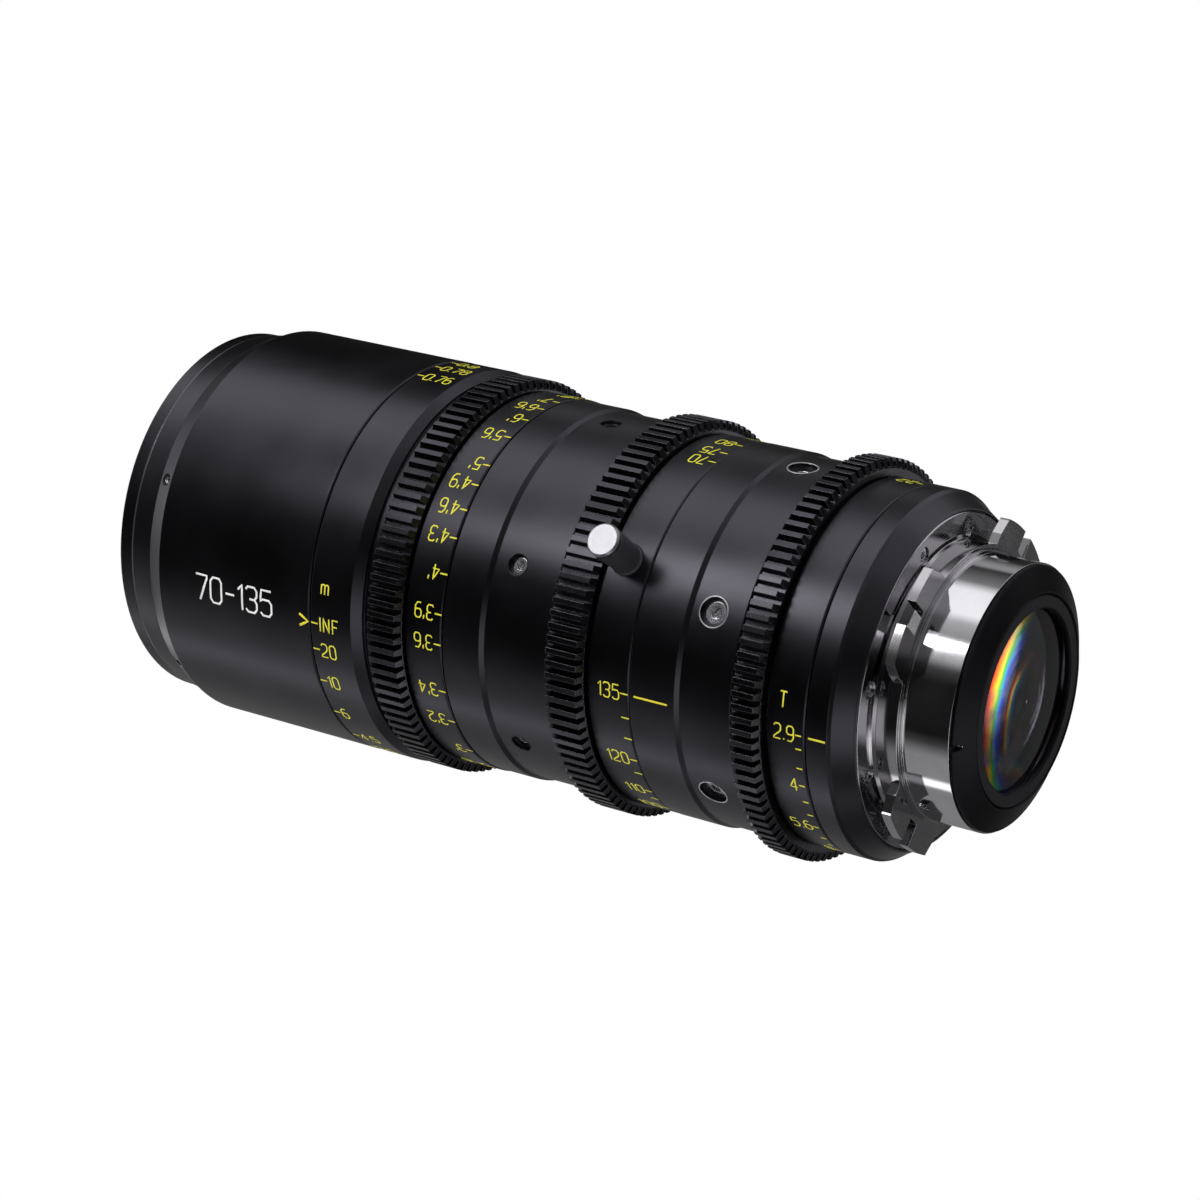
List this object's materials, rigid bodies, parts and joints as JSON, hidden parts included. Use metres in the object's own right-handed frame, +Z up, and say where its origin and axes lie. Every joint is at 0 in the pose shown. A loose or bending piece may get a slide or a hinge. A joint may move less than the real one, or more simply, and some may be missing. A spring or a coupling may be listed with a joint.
{
  "type": "cinema zoom lens",
  "caption": "Manual cinema zoom lens with toothed focus, zoom and iris rings, a zoom lever and a winged bayonet mount.",
  "frame": {"origin": "centre of the flange seat: the plane of the rear faces of the mount's four wings, on the optical axis", "axes": "+X along the optical axis out of the mount towards the camera, the front of the lens at -X; +Z up; index lines on the -Y side"},
  "size_m": [0.1968, 0.0852, 0.0852],
  "materials": {
    "barrel_black": "satin black anodised",
    "ring_black": "satin black anodised",
    "gear_black": "satin black anodised",
    "cell_black": "matt black anodised",
    "tube_steel": "machined",
    "screw_steel": "blackened",
    "key_steel": "machined",
    "blade_steel": "blued",
    "cam_brass": "machined",
    "lever_black": "satin",
    "cap_bright": "turned bright",
    "mount_chrome": "satin chrome",
    "coated_glass": "coated",
    "inner_glass": "polished"
  },
  "bodies": {
    "lens_barrel": {"front_rim": "barrel_black", "front_retainer": "cell_black", "front_barrel": "barrel_black", "front_grub_screws": "screw_steel", "front_cell": "cell_black", "front_element": "coated_glass", "second_element": "inner_glass", "main_tube": "tube_steel", "front_sleeve": "barrel_black", "front_sleeve_screws": "screw_steel", "rear_sleeve": "barrel_black", "rear_sleeve_screws": "screw_steel", "iris_base": "cell_black", "iris_cover": "cell_black", "rear_barrel": "barrel_black", "pl_mount": "mount_chrome", "mount_screws": "screw_steel", "rear_ring": "cell_black", "rear_ring_screw": "screw_steel", "rear_cell": "cell_black", "relay_element": "inner_glass", "rear_element": "coated_glass", "rear_retainer": "cell_black"},
    "focus_ring": {"focus_ring": "ring_black", "focus_gear": "gear_black"},
    "focus_group": {"focus_cell": "cell_black", "focus_element": "inner_glass", "focus_followers": "cam_brass"},
    "zoom_ring": {"zoom_ring": "ring_black", "zoom_gear": "gear_black", "zoom_lever": "lever_black", "zoom_lever_cap": "cap_bright", "zoom_key": "key_steel", "cam_tube": "cam_brass"},
    "variator_group": {"variator_cell": "cell_black", "variator_element": "inner_glass", "variator_rear_element": "inner_glass", "variator_followers": "cam_brass"},
    "compensator_group": {"compensator_cell": "cell_black", "compensator_element": "inner_glass", "compensator_followers": "cam_brass"},
    "iris_ring": {"iris_ring": "ring_black", "iris_gear": "gear_black", "iris_key": "key_steel", "iris_drive_ring": "cam_brass"},
    "blade_1": {"iris_blade_1": "blade_steel"},
    "blade_2": {"iris_blade_2": "blade_steel"},
    "blade_3": {"iris_blade_3": "blade_steel"},
    "blade_4": {"iris_blade_4": "blade_steel"},
    "blade_5": {"iris_blade_5": "blade_steel"},
    "blade_6": {"iris_blade_6": "blade_steel"},
    "blade_7": {"iris_blade_7": "blade_steel"},
    "blade_8": {"iris_blade_8": "blade_steel"},
    "blade_9": {"iris_blade_9": "blade_steel"}
  },
  "joints": [
    {"name": "focus_turn", "type": "hinge", "parent": "lens_barrel", "child": "focus_ring", "pos_m": [-0.114, 0, 0], "axis": [-1, 0, 0], "range_deg": [0, 275]},
    {"name": "focus_travel", "type": "slide", "parent": "lens_barrel", "child": "focus_group", "axis": [-1, 0, 0], "range_m": [0, 0.012]},
    {"name": "zoom_turn", "type": "hinge", "parent": "lens_barrel", "child": "zoom_ring", "pos_m": [-0.0635, 0, 0], "axis": [-1, 0, 0], "range_deg": [0, 100]},
    {"name": "variator_travel", "type": "slide", "parent": "lens_barrel", "child": "variator_group", "axis": [-1, 0, 0], "range_m": [0, 0.02]},
    {"name": "compensator_travel", "type": "slide", "parent": "lens_barrel", "child": "compensator_group", "axis": [-1, 0, 0], "range_m": [0, 0.006]},
    {"name": "iris_turn", "type": "hinge", "parent": "lens_barrel", "child": "iris_ring", "pos_m": [-0.0229, 0, 0], "axis": [-1, 0, 0], "range_deg": [0, 112]},
    {"name": "blade_1_pivot", "type": "hinge", "parent": "lens_barrel", "child": "blade_1", "pos_m": [-0.016, 0.0296, 0], "axis": [1, 0, 0], "range_deg": [0, 34.8]},
    {"name": "blade_2_pivot", "type": "hinge", "parent": "lens_barrel", "child": "blade_2", "pos_m": [-0.016, 0.02267, 0.01903], "axis": [1, 0, 0], "range_deg": [0, 34.8]},
    {"name": "blade_3_pivot", "type": "hinge", "parent": "lens_barrel", "child": "blade_3", "pos_m": [-0.016, 0.00514, 0.02915], "axis": [1, 0, 0], "range_deg": [0, 34.8]},
    {"name": "blade_4_pivot", "type": "hinge", "parent": "lens_barrel", "child": "blade_4", "pos_m": [-0.016, -0.0148, 0.02563], "axis": [1, 0, 0], "range_deg": [0, 34.8]},
    {"name": "blade_5_pivot", "type": "hinge", "parent": "lens_barrel", "child": "blade_5", "pos_m": [-0.016, -0.02781, 0.01012], "axis": [1, 0, 0], "range_deg": [0, 34.8]},
    {"name": "blade_6_pivot", "type": "hinge", "parent": "lens_barrel", "child": "blade_6", "pos_m": [-0.016, -0.02781, -0.01012], "axis": [1, 0, 0], "range_deg": [0, 34.8]},
    {"name": "blade_7_pivot", "type": "hinge", "parent": "lens_barrel", "child": "blade_7", "pos_m": [-0.016, -0.0148, -0.02563], "axis": [1, 0, 0], "range_deg": [0, 34.8]},
    {"name": "blade_8_pivot", "type": "hinge", "parent": "lens_barrel", "child": "blade_8", "pos_m": [-0.016, 0.00514, -0.02915], "axis": [1, 0, 0], "range_deg": [0, 34.8]},
    {"name": "blade_9_pivot", "type": "hinge", "parent": "lens_barrel", "child": "blade_9", "pos_m": [-0.016, 0.02267, -0.01903], "axis": [1, 0, 0], "range_deg": [0, 34.8]}
  ],
  "couplings": [
    {"joint": "focus_travel", "follows": "focus_turn", "m_per_rad": 0.0025001},
    {"joint": "variator_travel", "follows": "zoom_turn", "m_per_rad": 0.011459},
    {"joint": "compensator_travel", "follows": "zoom_turn", "m_per_rad": 0.0034377},
    {"joint": "blade_1_pivot", "follows": "iris_turn", "ratio": 0.3107},
    {"joint": "blade_2_pivot", "follows": "iris_turn", "ratio": 0.3107},
    {"joint": "blade_3_pivot", "follows": "iris_turn", "ratio": 0.3107},
    {"joint": "blade_4_pivot", "follows": "iris_turn", "ratio": 0.3107},
    {"joint": "blade_5_pivot", "follows": "iris_turn", "ratio": 0.3107},
    {"joint": "blade_6_pivot", "follows": "iris_turn", "ratio": 0.3107},
    {"joint": "blade_7_pivot", "follows": "iris_turn", "ratio": 0.3107},
    {"joint": "blade_8_pivot", "follows": "iris_turn", "ratio": 0.3107},
    {"joint": "blade_9_pivot", "follows": "iris_turn", "ratio": 0.3107}
  ]
}
